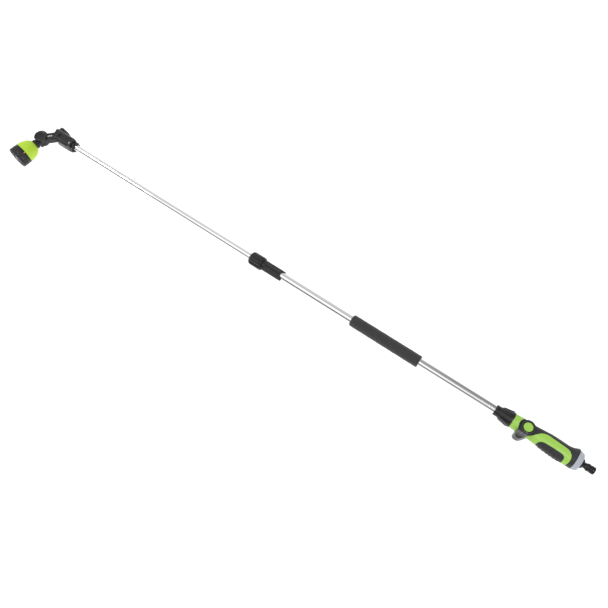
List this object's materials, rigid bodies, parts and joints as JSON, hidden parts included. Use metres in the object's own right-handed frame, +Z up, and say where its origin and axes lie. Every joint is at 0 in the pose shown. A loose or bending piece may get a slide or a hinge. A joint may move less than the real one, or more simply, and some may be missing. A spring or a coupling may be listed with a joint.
{
  "type": "watering wand",
  "caption": "Long telescopic watering wand: tilting spray head with turning pattern dial, foam-gripped tube with twist lock, and a grip with flow lever and hose plug.",
  "frame": {"origin": "middle of the bounding box, on the surface the wand lies on", "axes": "+X along the wand from the spray head to the hose plug, -Y the side the head bends to, +Z up with the wand lying on its side"},
  "size_m": [1.6284, 0.1486, 0.0568],
  "materials": {
    "black_plastic": "satin moulded plastic",
    "soft_black": "soft matt cover",
    "handle_green": "satin green plastic",
    "bell_green": "satin lime plastic",
    "grey_plastic": "finely textured",
    "gloss_black": "glossy",
    "seal_rubber": "matt",
    "outer_aluminium": "polished",
    "inner_aluminium": "polished",
    "foam": "closed-cell foam",
    "nylon": "satin",
    "steel": "zinc plated",
    "orange_mark": "matt",
    "dial_black": "satin"
  },
  "bodies": {
    "handle": {"handle_core": "black_plastic", "grip_spine": "soft_black", "green_panel": "handle_green", "finger_pad": "soft_black", "front_ring": "handle_green", "nose_nut": "black_plastic", "nose_screw": "steel", "tube_seal": "seal_rubber", "end_collar": "grey_plastic", "hose_plug": "gloss_black", "plug_o_ring": "seal_rubber", "filter_washer": "steel", "outer_tube": "outer_aluminium", "foam_grip": "foam", "lock_sleeve": "black_plastic", "lock_collet": "nylon", "valve_seat": "nylon", "valve_cap": "black_plastic"},
    "lever": {"flow_lever": "black_plastic", "lever_button": "handle_green", "rear_button": "handle_green", "valve_spool": "nylon", "spool_o_ring_upper": "seal_rubber", "spool_o_ring_lower": "seal_rubber"},
    "lock": {"lock_nut": "black_plastic"},
    "piston": {"piston_bush": "nylon", "piston_o_ring": "seal_rubber"},
    "inner": {"inner_tube": "inner_aluminium", "coupling_shell": "black_plastic", "tube_o_ring": "seal_rubber", "coupling_screw": "steel", "arm_pin_near": "black_plastic", "arm_pin_far": "black_plastic"},
    "catch": {"thumb_catch": "black_plastic", "catch_spring": "steel"},
    "arm": {"spray_arm": "black_plastic"},
    "head": {"swivel_elbow": "black_plastic", "swivel_o_ring": "seal_rubber", "swivel_cap": "black_plastic", "neck_nut": "black_plastic", "bell": "bell_green", "bell_gasket": "seal_rubber"},
    "dial": {"pattern_dial": "dial_black", "spray_plate": "dial_black", "dial_screw": "steel", "index_mark": "orange_mark"}
  },
  "joints": [
    {"name": "flow_lever_turn", "type": "hinge", "parent": "handle", "child": "lever", "pos_m": [0.66219, 0.04535, 0.0284], "axis": [0, 0, 1], "range_deg": [0, 24]},
    {"name": "lock_nut_turn", "type": "hinge", "parent": "handle", "child": "lock", "pos_m": [-0.05481, 0.04635, 0.0284], "axis": [1, 0, 0], "range_deg": [0, 120]},
    {"name": "telescope_slide", "type": "slide", "parent": "handle", "child": "piston", "axis": [1, 0, 0], "range_m": [0, 0.56]},
    {"name": "inner_tube_turn", "type": "hinge", "parent": "piston", "child": "inner", "pos_m": [0.03419, 0.04635, 0.0284], "axis": [1, 0, 0], "range_deg": [-90, 90]},
    {"name": "thumb_catch_slide", "type": "slide", "parent": "inner", "child": "catch", "axis": [1, 0, 0], "range_m": [0, 0.004], "stiffness_N_per_m": 500, "springref_m": -0.002},
    {"name": "arm_tilt", "type": "hinge", "parent": "inner", "child": "arm", "pos_m": [-0.74381, 0.04635, 0.0284], "axis": [0, 0, 1], "range_deg": [-44, 44]},
    {"name": "head_tilt", "type": "hinge", "parent": "arm", "child": "head", "pos_m": [-0.77581, 0.01535, 0.0284], "axis": [0, 0, 1], "range_deg": [-70, 40]},
    {"name": "dial_turn", "type": "hinge", "parent": "head", "child": "dial", "pos_m": [-0.78495, -0.05909, 0.0284], "axis": [-0.1219, -0.9925, 0], "continuous": true}
  ]
}
